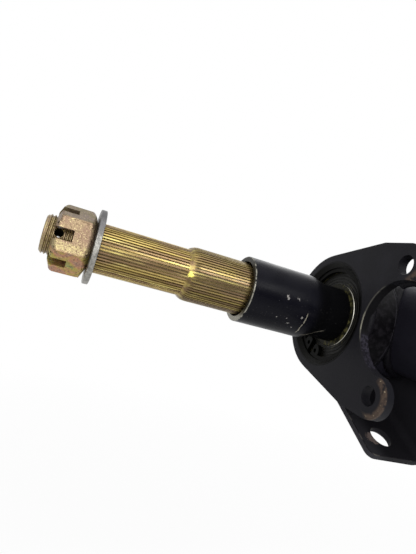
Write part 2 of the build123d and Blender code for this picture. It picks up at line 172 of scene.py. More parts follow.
class Nodes:
    """Short calls that add nodes to a tree and join them."""

    def __init__(self, tree):
        self.tree = tree

    def node(self, kind, inputs=None, **settings):
        """A new node; each of its inputs takes a value or another node's output."""
        made = self.tree.nodes.new(kind)
        for key, value in settings.items():
            setattr(made, key, value)
        for key, value in (inputs or {}).items():
            self.put(made.inputs[key], value)
        return made

    def put(self, socket, value):
        """Gives a socket a value, or links it to another node's output."""
        if isinstance(value, bpy.types.NodeSocket):
            self.tree.links.new(value, socket)
        else:
            socket.default_value = value

    def calc(self, operation, first, second=0.0, third=0.0, clamp=False):
        """The result of a Math node."""
        made = self.node("ShaderNodeMath", operation=operation, use_clamp=clamp)
        for socket, value in zip(made.inputs, (first, second, third)):
            self.put(socket, value)
        return made.outputs[0]

    def times(self, product, *others):
        """The product of several values."""
        for value in others:
            product = self.calc("MULTIPLY", product, value)
        return product

    def length(self, first, second):
        """The length of a flat vector with these two parts."""
        flat = self.node("ShaderNodeCombineXYZ", {"X": first, "Y": second})
        return self.node("ShaderNodeVectorMath", {0: flat.outputs[0]}, operation="LENGTH").outputs["Value"]

    def spread(self, value, low, high, to_low=0.0, to_high=1.0):
        """Maps low..high smoothly to to_low..to_high."""
        made = self.node("ShaderNodeMapRange", {
            "Value": value, "From Min": low, "From Max": high, "To Min": to_low, "To Max": to_high},
            interpolation_type="SMOOTHSTEP")
        return made.outputs["Result"]

    def within(self, value, low, high, soft):
        """1 between low and high, falling to 0 over the width soft inside them."""
        return self.times(self.spread(value, low, low + soft), self.spread(value, high, high - soft))

    def stripe(self, value, middle, reach, core):
        """1 within core of the middle, falling to 0 at reach from it."""
        return self.spread(self.calc("ABSOLUTE", self.calc("SUBTRACT", value, middle)), reach, core)

    def mix(self, share, first, second):
        """A number between first and second."""
        return self.node("ShaderNodeMix", {0: share, 2: first, 3: second}, data_type="FLOAT").outputs[0]

    def blend(self, share, first, second):
        """A colour between first and second."""
        return self.node("ShaderNodeMix", {0: share, 6: first, 7: second}, data_type="RGBA").outputs[2]

    def ramp(self, value, stops):
        """The colour for a value on a ramp of (position, colour) stops."""
        made = self.node("ShaderNodeValToRGB", {"Fac": value})
        elements = made.color_ramp.elements
        for index, stop in ((0, stops[0]), (1, stops[-1])):
            elements[index].position, elements[index].color = stop
        for position, colour in stops[1:-1]:
            elements.new(position).color = colour
        return made.outputs["Color"]


class Finish(Nodes):
    """A procedural material, with masks laid out by places on the part."""

    def __init__(self, name):
        self.material = bpy.data.materials.new(name)
        self.material.use_nodes = True
        super().__init__(self.material.node_tree)
        self.shader = self.tree.nodes["Principled BSDF"]
        self.place = self.node("ShaderNodeTexCoord").outputs["Object"]

    def surface(self, **values):
        """Sets the shader's own sockets; an underscore stands for a space in their names."""
        for key, value in values.items():
            self.put(self.shader.inputs[key.replace("_", " ")], value)

    def under(self, key):
        """What one of the shader's sockets has now: a node's output, or its own value."""
        socket = self.shader.inputs[key]
        return socket.links[0].from_socket if socket.is_linked else socket.default_value

    def over(self, mask, colour, rough, metallic=0.0):
        """Lays another finish over what is there, where mask is 1."""
        self.surface(Base_Color=self.blend(mask, self.under("Base Color"), colour))
        for key, value in (("Roughness", rough), ("Metallic", metallic)):
            under = self.under(key)
            if under != value:
                self.put(self.shader.inputs[key], self.mix(mask, under, value))

    def bump(self, height, depth):
        """Uses a height field as relief, depth millimetres high."""
        made = self.node("ShaderNodeBump", {"Height": height, "Strength": 1.0, "Distance": depth * MM})
        self.surface(Normal=made.outputs["Normal"])

    def noise(self, size, detail=3.0, rough=0.55, place=None, distortion=0.0):
        """Noise between 0 and 1 whose features are about size millimetres wide."""
        made = self.node("ShaderNodeTexNoise", {
            "Vector": place or self.place, "Scale": 1.0 / (size * MM),
            "Detail": detail, "Roughness": rough, "Distortion": distortion})
        return made.outputs["Fac"]

    def spots(self, size, low, high, detail):
        """Blotches about size millimetres wide, where noise rises from low to high."""
        return self.spread(self.noise(size, detail), low, high)

    def stretched(self, share):
        """The place with X scaled, so that noise runs in streaks along the axle."""
        return self.node("ShaderNodeMapping", {"Vector": self.place, "Scale": (share, 1.0, 1.0)}).outputs[0]

    def parts(self):
        """The place's three coordinates, in metres."""
        return self.node("ShaderNodeSeparateXYZ", {"Vector": self.place}).outputs

    def along(self):
        """Millimetres along the axle from its middle, the same at both ends."""
        return self.times(self.calc("ABSOLUTE", self.parts()["X"]), 1 / MM)

    def radius(self):
        """Millimetres away from the axle's axis."""
        parts = self.parts()
        return self.times(self.length(parts["Y"], parts["Z"]), 1 / MM)

    def turn(self):
        """Degrees about the axle, above straight forward."""
        parts = self.parts()
        return self.calc("DEGREES", self.calc("ARCTAN2", parts["Z"], self.times(parts["Y"], -1.0)))

    def height(self):
        """Millimetres above the axle's axis."""
        return self.times(self.parts()["Z"], 1 / MM)

    def gap_to(self, forward, up, mirrored=False):
        """Millimetres, seen along the axle, to a point forward and up, or also to the same point below."""
        parts = self.parts()
        height = self.calc("ABSOLUTE", parts["Z"]) if mirrored else parts["Z"]
        across = self.calc("MULTIPLY_ADD", parts["Y"], -1 / MM, -forward)
        return self.length(across, self.calc("MULTIPLY_ADD", height, 1 / MM, -up))

    def near(self, point, radius, ragged):
        """1 within about radius millimetres of a point, at both ends of the axle, with a ragged edge."""
        parts = self.parts()
        outward = self.calc("ABSOLUTE", parts["X"])
        place = self.node("ShaderNodeCombineXYZ", {"X": outward, "Y": parts["Y"], "Z": parts["Z"]})
        ends = {0: place.outputs[0], 1: millimetres(*point)}
        gap = self.node("ShaderNodeVectorMath", ends, operation="DISTANCE")
        wobble = ragged * radius * MM
        distance = self.calc("ADD", gap.outputs["Value"],
                             self.calc("MULTIPLY_ADD", self.noise(0.9), 2 * wobble, -wobble))
        return self.spread(distance, radius * MM, 0.8 * radius * MM)


# In the finishes below, lengths are in millimetres, turns in degrees, and noise and shares run from 0 to 1


def spline_zinc():
    """Yellow zinc on the shaft: tooth tips from straw to pinkish brown, grooves darkened with painted shade,
    streaks, a painted glint on the ramp, and painted shade in the cotter hole.
    """
    look = Finish("spline_zinc")
    along, radius = look.along(), look.radius()
    tip_r = look.spread(along, SPLINE_STEP - 0.5, SPLINE_STEP - 3.5, HUB_SPLINE_R, DISC_SPLINE_R)
    groove = look.spread(look.calc("SUBTRACT", tip_r, radius), 0.06, 0.5)
    tooth = look.noise(1.9, detail=1.0, place=look.stretched(0.03))
    streak = look.noise(2.2, detail=4.0, place=look.stretched(0.10))
    patch = look.noise(16.0, detail=2.0)
    straw, brown, copper = rgb(0.40, 0.300, 0.100), rgb(0.215, 0.140, 0.072), rgb(0.30, 0.19, 0.12)
    shine, shade = rgb(0.56, 0.47, 0.17), rgb(0.21, 0.145, 0.050)
    tips = look.blend(look.spread(tooth, 0.43, 0.57), straw, brown)
    tips = look.blend(look.spread(streak, 0.52, 0.66), tips, shine)
    tips = look.blend(look.spread(streak, 0.46, 0.34), tips, shade)
    tips = look.blend(look.spread(patch, 0.5, 0.7, 0.0, 0.5), tips, copper)
    # Painted shade: the groove bottoms are darker than the tooth tips.
    shaded_bottoms = look.blend(look.spread(tooth, 0.62, 0.40), rgb(0.135, 0.088, 0.028), rgb(0.29, 0.215, 0.075))
    thicker = look.spread(along, SPLINE_STEP + 0.5, SPLINE_STEP - 1.5, 0.0, 0.42)
    colour = look.blend(thicker, look.blend(groove, tips, shaded_bottoms), rgb(0.050, 0.040, 0.020))
    # Painted highlight: a yellow glint on the ramp.
    glint = look.near(on_cylinder(*RAMP_GLINT), RAMP_GLINT_R, ragged=1.2)
    colour = look.blend(glint, colour, rgb(0.82, 0.76, 0.17))
    # Painted shade: the cotter hole's wall is dark and reflects nothing.
    in_hole = look.times(look.within(along, COTTER_X - 3.0, COTTER_X + 3.0, 0.2),
                         look.spread(radius, THREAD_CORE_R - 0.005, THREAD_CORE_R - 0.03))
    colour = look.blend(in_hole, colour, rgb(0.035, 0.029, 0.016))
    groove_metal = look.spread(groove, 0.0, 1.0, 1.0, 0.25)
    hole_metal = look.spread(in_hole, 0.0, 1.0, 1.0, 0.0)
    look.surface(Base_Color=colour, Metallic=look.calc("MINIMUM", groove_metal, hole_metal),
                 Specular_IOR_Level=look.spread(in_hole, 0.0, 1.0, 0.5, 0.0),
                 Roughness=look.spread(streak, 0.3, 0.7, 0.24, 0.42))
    look.bump(look.noise(0.5, detail=4.0, place=look.stretched(0.2)), 0.04)
    return look.material


def nut_zinc():
    """Yellow zinc: straw with cream specks on the forward faces as a painted highlight, olive brown on top as
    painted shade, and pink, yellow and green below.
    """
    look = Finish("nut_zinc")
    along, turn = look.along(), look.turn()
    patch = look.noise(6.0, detail=3.0, distortion=0.7)
    hues = look.ramp(patch, (
        (0.30, rgb(0.30, 0.17, 0.125)), (0.42, rgb(0.42, 0.20, 0.115)), (0.50, rgb(0.40, 0.25, 0.085)),
        (0.60, rgb(0.36, 0.30, 0.065)), (0.72, rgb(0.16, 0.21, 0.10))))
    straw = look.blend(look.spread(patch, 0.40, 0.60), rgb(0.245, 0.175, 0.105), rgb(0.215, 0.142, 0.095))
    # Painted highlight: cream specks only on the faces just below straight forward.
    specks = look.times(look.within(turn, -22.0, -3.0, 6.0), look.spots(0.7, 0.36, 0.62, detail=4.0))
    straw = look.blend(specks, straw, rgb(0.40, 0.33, 0.16))
    # Painted shade: the upper flats are a darker olive brown.
    shaded_olive = look.blend(look.spread(patch, 0.42, 0.58), rgb(0.185, 0.130, 0.090), rgb(0.165, 0.130, 0.065))
    colour = look.blend(look.spread(turn, -18.0, -26.0), straw, hues)
    colour = look.blend(look.spread(turn, 36.0, 42.0), colour, shaded_olive)
    colour = look.blend(look.spots(0.55, 0.55, 0.70, detail=3.0), colour, rgb(0.50, 0.42, 0.22))
    colour = look.blend(look.spots(0.75, 0.53, 0.68, detail=2.0), colour, rgb(0.14, 0.095, 0.055))
    look.surface(Base_Color=colour, Metallic=look.spread(along, THREAD_START, THREAD_START + 3.0, 0.2, 0.85),
                 Roughness=look.spread(patch, 0.2, 0.8, 0.34, 0.46))
    look.bump(look.noise(0.8, detail=4.0), 0.09)
    return look.material


def thread_zinc():
    """The stub's thread: dull olive brown, with painted shade at the roots, and scattered bright flecks."""
    look = Finish("thread_zinc")
    # Painted shade: the roots are darker than the crests.
    shaded_root = look.times(look.spread(look.radius(), THREAD_R - 0.1, THREAD_ROOT_R + 0.1),
                      look.spread(look.along(), STUB_END - 1.0, STUB_END - 1.9))
    stain = look.noise(2.0, detail=4.0)
    crest = look.blend(look.spread(stain, 0.35, 0.65), rgb(0.30, 0.24, 0.125), rgb(0.215, 0.150, 0.090))
    crest = look.blend(look.spots(0.6, 0.58, 0.70, detail=2.0), crest, rgb(0.42, 0.34, 0.15))
    look.surface(Base_Color=look.blend(shaded_root, crest, rgb(0.120, 0.090, 0.045)), Metallic=0.8, Roughness=0.36)
    look.bump(look.noise(0.4, detail=3.0), 0.03)
    return look.material


def washer_zinc():
    """Clear zinc: pale grey, faintly mottled, darker above with painted shade, and finely brushed."""
    look = Finish("washer_zinc")
    mottle = look.noise(1.4, detail=4.0)
    grey = look.blend(look.spread(mottle, 0.35, 0.65), rgb(0.19, 0.185, 0.17), rgb(0.34, 0.33, 0.30))
    # Painted shade: darker above the axis.
    grey = look.blend(look.spread(look.height(), 2.0, 10.0), grey, rgb(0.115, 0.113, 0.115))
    look.surface(Base_Color=grey, Metallic=0.9, Roughness=look.spread(mottle, 0.3, 0.7, 0.32, 0.5))
    look.bump(look.noise(0.35, detail=3.0, place=look.stretched(0.3)), 0.03)
    return look.material


def black_coat(name, colour, rough=0.42, grain=0.7, relief=0.03, dust_and_top_light=0.25, gloss=0.05):
    """Satin black paint with a fine grain, paler higher up in blotches: a little dusting, and painted light
    from above.
    """
    look = Finish(name)
    haze = look.noise(14.0, detail=4.0)
    # Pale blotches that grow with height: a dusting, together with painted light from above.
    dust_and_top_light_colour = rgb(*(2.0 * part + 0.003 for part in colour[:3]))
    share = look.times(look.spread(haze, 0.35, 0.75),
                       look.spread(look.height(), -40.0, 30.0, 0.4 * dust_and_top_light, 1.6 * dust_and_top_light))
    look.surface(Base_Color=look.blend(share, colour, dust_and_top_light_colour) if dust_and_top_light else colour, Metallic=0.0,
                 Specular_IOR_Level=gloss, Roughness=look.spread(haze, 0.3, 0.7, rough - 0.05, rough + 0.08))
    look.bump(look.noise(grain, detail=3.0), relief)
    return look


def sleeve_scratches(look):
    """Two scratches low on the sleeve: one bows round it, and one slants across its nose."""
    along, turn = look.along(), look.turn()
    bow = look.calc("MULTIPLY_ADD", look.noise(5.0), 1.8, BOW_X)
    arc = look.times(look.stripe(along, bow, 0.32, 0.12), look.within(turn, -58.0, -8.0, 6.0),
                     look.spots(1.4, 0.34, 0.44, detail=2.0))
    slant = look.calc("MULTIPLY_ADD", turn, SLANT, SLANT_X)
    line = look.times(look.stripe(along, slant, 0.44, 0.16), look.within(turn, -63.0, -38.0, 3.0))
    return look.calc("MAXIMUM", arc, line)


def sleeve_black():
    """Satin black paint, chipped and scratched, with a bare mouth that is pale below and dark above as
    painted light and shade, and a nose darkened with painted shade.
    """
    look = black_coat("sleeve_black", rgb(0.0030, 0.0030, 0.0050), rough=0.28, grain=0.9, relief=0.02)
    along, turn = look.along(), look.turn()
    # Painted shade: the nose is darker.
    look.over(look.spread(along, NOSE_END + 2.5, NOSE_END - 5.5), rgb(0.0022, 0.0022, 0.0026), rough=0.42)
    specks = look.times(look.spots(0.7, 0.69, 0.73, detail=2.0), look.within(turn, -75.0, 20.0, 12.0))
    look.over(specks, rgb(0.050, 0.048, 0.046), rough=0.5)
    chips = 0.0
    for chip_x, chip_turn, chip_r in SLEEVE_CHIPS:
        chip = look.near(on_cylinder(chip_x, chip_turn, SLEEVE_R), chip_r, ragged=2.4)
        chips = look.calc("MAXIMUM", chip, chips)
    look.over(chips, rgb(0.21, 0.20, 0.19), rough=0.5, metallic=0.3)
    look.over(sleeve_scratches(look), rgb(0.27, 0.25, 0.20), rough=0.45, metallic=0.4)
    # Bare steel at the mouth, with painted light and shade: pale low down and dark higher up.
    bare = look.blend(look.spread(turn, -30.0, -62.0), rgb(0.035, 0.034, 0.028), rgb(0.26, 0.25, 0.21))
    look.over(look.spread(along, SLEEVE_END - 0.25, SLEEVE_END - 0.1), bare, rough=0.4, metallic=0.7)
    rim = look.times(look.within(along, SLEEVE_END - 0.6, SLEEVE_END + 0.3, 0.15),
                     look.spread(look.radius(), SLEEVE_R - 0.4, SLEEVE_R - 0.25),
                     look.spots(2.2, 0.40, 0.54, detail=3.0))
    look.over(rim, rgb(0.27, 0.26, 0.22), rough=0.4, metallic=1.0)
    return look.material


def spatter(look):
    """The mottled purple grey of painted weld spatter."""
    mottle = look.spots(1.2, 0.42, 0.60, detail=4.0)
    return look.blend(mottle, rgb(0.0050, 0.0045, 0.0068), rgb(0.024, 0.022, 0.031))


def ear_wear(look):
    """The carrier's ears: plain black round their edges, and rubbed to rusty steel at their ends, with bright
    flecks painted as glints.
    """
    radius, turn = look.radius(), look.turn()
    ear_gap = look.gap_to(EAR_FORWARD, EAR_UP, mirrored=True)
    wall = look.times(look.spread(ear_gap, EAR_R - 0.4, EAR_R - 0.1), look.spread(radius, 56.0, 59.0))
    look.over(wall, rgb(0.0095, 0.0095, 0.0120), rough=0.45)
    rust = look.blend(look.noise(1.0, detail=3.0), rgb(0.034, 0.023, 0.018), rgb(0.095, 0.069, 0.053))
    # Painted highlights: bright flecks among the rust stand for glints.
    rust = look.blend(look.spots(1.3, 0.66, 0.74, detail=2.0), rust, rgb(0.36, 0.30, 0.20))
    low_end = look.times(look.spread(ear_gap, 6.9, 8.4), look.within(turn, -39.0, -14.0, 3.0))
    high_end = look.times(look.spread(ear_gap, 5.0, 7.0), look.within(turn, 15.0, 28.0, 3.0))
    rubbed = look.times(look.calc("ADD", low_end, high_end), look.spread(radius, 55.0, 58.0),
                        look.spread(look.along(), CARRIER_FACE - 1.6, CARRIER_FACE - 0.7),
                        look.spots(3.2, 0.30, 0.46, detail=3.0))
    look.over(rubbed, rust, rough=0.55, metallic=0.15)


def notch_wear(look):
    """The carrier's notch: a wall darkened with painted shade, spatter low down, and a thin worn line at its
    outer edge.
    """
    along, radius, turn = look.along(), look.radius(), look.turn()
    notch_gap = look.calc("SUBTRACT", look.gap_to(NOTCH_FORWARD, NOTCH_UP), NOTCH_R)
    wall = look.times(look.spread(notch_gap, 0.35, 0.15),
                      look.spread(along, CARRIER_FACE - 0.4, CARRIER_FACE - 0.7),
                      look.spread(radius, 50.0, 46.0))
    # Painted shade: the notch's wall is darkened.
    look.over(wall, rgb(0.0032, 0.0030, 0.0036), rough=0.5)
    look.over(look.times(wall, look.spread(turn, -6.0, -11.0)), spatter(look), rough=0.45)
    strength = look.calc("MULTIPLY_ADD", look.within(turn, -9.0, 12.0, 5.0), 0.72, 0.22)
    line = look.times(look.spread(notch_gap, 0.55, 0.30),
                      look.spread(along, CARRIER_FACE - 0.55, CARRIER_FACE - 0.30),
                      look.within(turn, -15.0, 40.0, 4.0), look.spread(radius, 46.0, 42.0),
                      look.spots(4.0, 0.36, 0.52, detail=3.0), strength)
    look.over(line, rgb(0.21, 0.20, 0.16), rough=0.42, metallic=0.4)


def mouth_line(look, inner_r, soft):
    """The dark line round the carrier's mouth, from inner_r outward."""
    ring = look.times(look.within(look.radius(), inner_r, MOUTH_R + 0.9, soft),
                      look.spread(look.along(), CARRIER_FACE - 2.8, CARRIER_FACE - 0.8))
    look.over(ring, rgb(0.0012, 0.0012, 0.0015), rough=0.5)


def cast_black():
    """Black paint over the carrier: paler higher up with a dusting and painted light from above, mottled on
    the hub, and dark in the mouth with painted shade.
    """
    look = black_coat("cast_black", rgb(0.0078, 0.0076, 0.0096), rough=0.46, relief=0.08, dust_and_top_light=0.35,
                      gloss=0.07)
    along, radius = look.along(), look.radius()
    mottle = look.spots(2.4, 0.42, 0.66, detail=4.0)
    look.over(look.spread(along, FLANGE_BACK + 0.2, FLANGE_BACK - 0.3),
              look.blend(mottle, rgb(0.0020, 0.0018, 0.0024), rgb(0.0080, 0.0072, 0.0088)), rough=0.4)
    rim = look.times(look.within(along, HUB_BACK - 0.3, HUB_BACK + 0.6, 0.2),
                     look.spread(radius, HUB_R - 0.7, HUB_R - 0.3), look.spots(2.5, 0.38, 0.56, detail=3.0))
    look.over(rim, rgb(0.018, 0.017, 0.021), rough=0.45)
    # Painted shade: dark inside the mouth.
    mouth = look.times(look.spread(radius, MOUTH_R + 0.1, MOUTH_R - 0.1),
                       look.spread(along, BEARING_BACK + 2.0, BEARING_BACK + 3.0))
    look.over(mouth, rgb(0.0030, 0.0029, 0.0023), rough=0.4)
    mouth_line(look, MOUTH_R, 0.25)
    pits = look.times(look.spots(1.1, 0.70, 0.78, detail=2.0), 0.25)
    look.over(pits, rgb(0.040, 0.037, 0.036), rough=0.6)
    ear_wear(look)
    notch_wear(look)
    return look.material


def carrier_edge():
    """The carrier's rounded edges: a little paler than its faces, and worn in the same places."""
    look = black_coat("carrier_edge", rgb(0.0085, 0.0083, 0.0095), relief=0.04, gloss=0.07)
    ear_wear(look)
    notch_wear(look)
    mouth_line(look, MOUTH_R - 0.3, 0.2)
    return look.material


def worn_edge():
    """What shows where paint has thinned on an edge: a paler line with bare steel in broken stretches."""
    look = black_coat("worn_edge", rgb(0.011, 0.0105, 0.012), rough=0.4)
    rubbed = look.times(look.spots(3.5, 0.52, 0.64, detail=4.0), 0.6)
    look.over(rubbed, rgb(0.12, 0.11, 0.095), rough=0.42, metallic=0.5)
    return look.material


def frame_black():
    """Powder coat on the swing arm: smooth, with a faint orange peel."""
    look = black_coat("frame_black", rgb(0.0100, 0.0095, 0.0135), rough=0.46, grain=2.2, relief=0.05,
                      dust_and_top_light=0.2, gloss=0.015)
    return look.material


def bracket_black():
    """The bracket's paint: grey at its outer end as painted light, darker further in as painted shadow, and
    rubbed bare in one place.
    """
    look = black_coat("bracket_black", rgb(0.0270, 0.0260, 0.0300), grain=1.2, relief=0.05, gloss=0.04)
    # Painted light and shadow: grey at the outer end, dark further in.
    inner_shadow = look.spread(look.along(), BRACKET_END - 2.0, BRACKET_END - 12.0, 0.0, 0.75)
    look.over(inner_shadow, rgb(0.0040, 0.0038, 0.0050), rough=0.42)
    bare = look.blend(look.noise(0.8, detail=3.0), rgb(0.060, 0.038, 0.032), rgb(0.30, 0.24, 0.22))
    look.over(look.near(BRACKET_PATCH, BRACKET_PATCH_R, ragged=0.9), bare, rough=0.5, metallic=0.3)
    return look.material


def weld_black():
    """Paint over the weld beads, with spatter low on the front of the flange's bead."""
    look = black_coat("weld_black", rgb(0.0045, 0.0042, 0.0055), rough=0.38, grain=0.8, relief=0.12)
    low_root = look.times(look.spread(look.along(), FLANGE_BACK - 5.8, FLANGE_BACK - 3.8),
                          look.within(look.turn(), -52.0, -8.0, 5.0))
    look.over(low_root, spatter(look), rough=0.45)
    return look.material


def ring_black():
    """The snap ring's dark phosphate under an oily film."""
    look = black_coat("ring_black", rgb(0.0016, 0.0015, 0.0012), rough=0.32, grain=0.5, dust_and_top_light=0.0, gloss=0.04)
    return look.material


def bearing_steel():
    """Ground steel: a bright line at the inner ring's edge, and dark with grease elsewhere."""
    look = Finish("bearing_steel")
    radius = look.radius()
    film = look.noise(2.4, detail=4.0)
    inner_face = look.spread(radius, INNER_LAND_R - 0.12, INNER_LAND_R - 0.26)
    outer_ring = look.spread(radius, OUTER_LAND_R - 0.6, OUTER_LAND_R - 0.4)
    greasy = look.calc("MAXIMUM", inner_face, outer_ring)
    steel = look.blend(film, rgb(0.30, 0.29, 0.25), rgb(0.46, 0.44, 0.39))
    grease = look.blend(look.spread(film, 0.50, 0.68), rgb(0.010, 0.0095, 0.0055), rgb(0.075, 0.068, 0.026))
    look.surface(Base_Color=look.blend(greasy, steel, grease),
                 Metallic=look.calc("SUBTRACT", 1.0, greasy, clamp=True),
                 Roughness=look.spread(greasy, 0.0, 1.0, 0.28, 0.3), Specular_IOR_Level=0.05)
    look.bump(film, 0.05)
    return look.material


def seal_rubber():
    """The seal's rubber, with a smear of grease at the lip."""
    look = Finish("seal_rubber")
    grease = look.times(look.spots(2.6, 0.52, 0.70, detail=3.0), look.spread(look.radius(), 20.5, 17.8))
    look.surface(Base_Color=look.blend(grease, rgb(0.0048, 0.0046, 0.0038), rgb(0.034, 0.030, 0.015)),
                 Metallic=0.0, Specular_IOR_Level=0.12, Roughness=look.spread(grease, 0.0, 1.0, 0.42, 0.2))
    look.bump(look.noise(1.2, detail=3.0), 0.15)
    return look.material


def plain_steel():
    """Bright drawn steel, streaked along its length."""
    look = Finish("plain_steel")
    drawn = look.noise(0.9, detail=3.0, place=look.stretched(0.05))
    look.surface(Base_Color=look.blend(drawn, rgb(0.34, 0.34, 0.34), rgb(0.52, 0.52, 0.51)), Metallic=1.0,
                 Roughness=look.spread(drawn, 0.3, 0.7, 0.28, 0.42))
    look.bump(drawn, 0.02)
    return look.material


def ball_steel():
    """Polished steel under an uneven film of grease."""
    look = Finish("ball_steel")
    film = look.noise(3.0)
    look.surface(Base_Color=look.blend(film, rgb(0.55, 0.55, 0.55), rgb(0.68, 0.68, 0.68)), Metallic=1.0,
                 Roughness=0.12)
    return look.material


def moulded(name, colour, shade):
    """Moulded plastic with a fine grain and slightly uneven colour."""
    look = Finish(name)
    cloud = look.noise(9.0, detail=2.0)
    look.surface(Base_Color=look.blend(cloud, colour, shade), Metallic=0.0,
                 Roughness=look.spread(cloud, 0.3, 0.7, 0.45, 0.55))
    look.bump(look.noise(0.6), 0.03)
    return look.material


def new_piece(name, mesh, material, body):
    """Puts a finished mesh into the scene, on its body and with its slot."""
    piece = bpy.data.objects.new(name, mesh)
    bpy.context.scene.collection.objects.link(piece)
    piece.data.materials.append(material)
    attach(piece, body)
    return piece


def mesh_from(name, points, faces):
    """A smooth-shaded mesh from its points, in metres, and the point numbers of its faces."""
    mesh = bpy.data.meshes.new(name)
    mesh.from_pydata([tuple(point) for point in points], [], faces)
    mesh.validate()
    mesh.update()
    for face in mesh.polygons:
        face.use_smooth = True
    return mesh


def clean_copy(node, share):
    """A copy of a node's mesh with its flat faces whole, and each edge's share of the rounding on it."""
    work = bmesh.new()
    work.from_mesh(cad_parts[node].data)
    bmesh.ops.remove_doubles(work, verts=work.verts, dist=MERGE_GAP * MM)
    bmesh.ops.dissolve_limit(work, angle_limit=math.radians(ONE_FACE), verts=work.verts, edges=work.edges)
    if share:
        work.normal_update()
        weight = work.edges.layers.float.new("bevel_weight_edge")
        for edge in work.edges:
            edge[weight] = share(edge)
    mesh = bpy.data.meshes.new(f"{node}_dressed")
    work.to_mesh(mesh)
    work.free()
    return mesh


def softened(node, body, width, material, edge_material=None, segments=2, share=None):
    """A copy of a node with rounded edges, which stands for it; share gives an edge its part of the width."""
    mesh = clean_copy(node, share)
    piece = new_piece(f"{node}_dressed", mesh, material, body)
    if edge_material:
        piece.data.materials.append(edge_material)
    rounding = piece.modifiers.new("rounding", "BEVEL")
    rounding.width = width * MM
    rounding.segments = segments
    rounding.limit_method = "WEIGHT" if share else "ANGLE"
    rounding.angle_limit = math.radians(ROUNDED_EDGE)
    rounding.use_clamp_overlap = not share
    rounding.harden_normals = True
    rounding.material = 1 if edge_material else -1
    for face in mesh.polygons:
        face.use_smooth = True
    mesh.set_sharp_from_angle(angle=math.radians(SHARP_NUT_EDGE if share else ROUNDED_EDGE))
    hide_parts(node)
    return piece


def nut_share(edge):
    """A nut is rounded where its flats meet the chamfered ends, less at its corners, and not at its slots."""
    slot_fade, corner_share = 2.2, 0.4
    if len(edge.link_faces) != 2 or edge.calc_face_angle() < math.radians(NUT_CREASE):
        return 0.0
    middle = (edge.verts[0].co + edge.verts[1].co) / 2
    outward, lengthwise = sorted(edge.link_faces, key=lambda face: abs(face.normal.x))
    near_flat = 0.95 * NUT_R * MM
    if abs(outward.normal.dot(middle)) <= near_flat:
        return 0.0
    if 0.8 < abs(lengthwise.normal.x) < 0.99:
        if abs(middle.x) < NUT_MIDDLE_X * MM:
            return 1.0
        aside = (middle - outward.normal * outward.normal.dot(middle)).yz.length / MM
        return min(1.0, max(0.0, (aside - SLOT_HALF) / slot_fade))
    return corner_share if abs(lengthwise.normal.dot(middle)) > near_flat else 0.0


def thread_radius(along, phase):
    """The thread's radius at a distance along the axle; phase runs from 0 to 1 across one pitch."""
    half_width, crest_cut = 0.42, 1.2
    rise = max(0.0, 1.0 - abs(phase - 0.5) / half_width)
    radius = THREAD_ROOT_R + (THREAD_R - THREAD_ROOT_R) * min(1.0, crest_cut * rise)
    chamfer_r = THREAD_R + 0.1 - max(0.0, along - (STUB_END - STUB_CHAMFER))
    return min(radius, chamfer_r)


def thread(name, side, material):
    """The helical thread of one stub, open where the cotter hole is."""
    columns, rows_per_turn, hole_gap = 120, 10, 0.12
    rows = int((STUB_END - THREAD_START) / THREAD_PITCH * rows_per_turn)
    row_step = THREAD_PITCH / rows_per_turn
    points = []
    for row in range(rows + 1):
        phase = (row % rows_per_turn) / rows_per_turn
        for column in range(columns):
            turn = column / columns
            along = min(THREAD_START + (row + turn * rows_per_turn) * row_step, STUB_END)
            radius = thread_radius(along, phase)
            angle = 2 * math.pi * turn
            points.append(millimetres(side * along, radius * math.cos(angle), radius * math.sin(angle)))
    hole_axis = Vector(on_cylinder(0, COTTER_TURN, 1.0))
    faces = []
    for row in range(rows):
        for column in range(columns):
            at_end = column + 1 == columns
            ahead, lift = (0, rows_per_turn) if at_end else (column + 1, 0)
            if row + 1 + lift > rows:
                continue
            corners = ((row, column), (row + 1, column), (row + 1 + lift, ahead), (row + lift, ahead))
            loop = [corner_row * columns + corner_column for corner_row, corner_column in corners]
            centre = sum((points[index] for index in loop), Vector()) / len(loop)
            across = centre - millimetres(side * COTTER_X, 0, 0)
            if (across - hole_axis * across.dot(hole_axis)).length < (COTTER_R + hole_gap) * MM:
                continue
            faces.append(loop if side > 0 else loop[::-1])
    return new_piece(name, mesh_from(name, points, faces), material, "axle")


def bead(name, path, radius, material, closed=True, ripple=BEAD_RIPPLE):
    """A round bead along points in millimetres, rippled as a weld is laid, with thin ends if it is open."""
    ring, ripple_height, thin_end = 10, 0.10, 0.35
    count = len(path)
    path = [Vector(point) for point in path]
    points, faces = [], []
    travelled = 0.0
    side_axis = None
    for index, here in enumerate(path):
        ahead = path[(index + 1) % count] if closed or index < count - 1 else here
        behind = path[index - 1] if closed or index > 0 else here
        tangent = (ahead - behind).normalized()
        travelled += (here - behind).length
        swell = 1.0 + ripple_height * math.cos(2 * math.pi * travelled / ripple)
        if not closed and index in (0, count - 1):
            swell = thin_end
        side_axis = side_axis or tangent.orthogonal()
        side_axis = (side_axis - tangent * side_axis.dot(tangent)).normalized()
        up_axis = tangent.cross(side_axis)
        for step in range(ring):
            angle = 2 * math.pi * step / ring
            offset = side_axis * math.cos(angle) + up_axis * math.sin(angle)
            points.append((here + offset * radius * swell) * MM)
    for index in range(count if closed else count - 1):
        near_row, far_row = index * ring, ((index + 1) % count) * ring
        for step in range(ring):
            beside = (step + 1) % ring
            faces.append((near_row + step, near_row + beside, far_row + beside, far_row + step))
    if not closed:
        faces.append(tuple(range(ring))[::-1])
        faces.append(tuple(range((count - 1) * ring, count * ring)))
    return new_piece(name, mesh_from(name, points, faces), material, "swing_arm")


def circle(side, along, radius, count):
    """The points of a circle about the axle."""
    turns = [2 * math.pi * index / count for index in range(count)]
    return [(side * along, radius * math.cos(turn), radius * math.sin(turn)) for turn in turns]


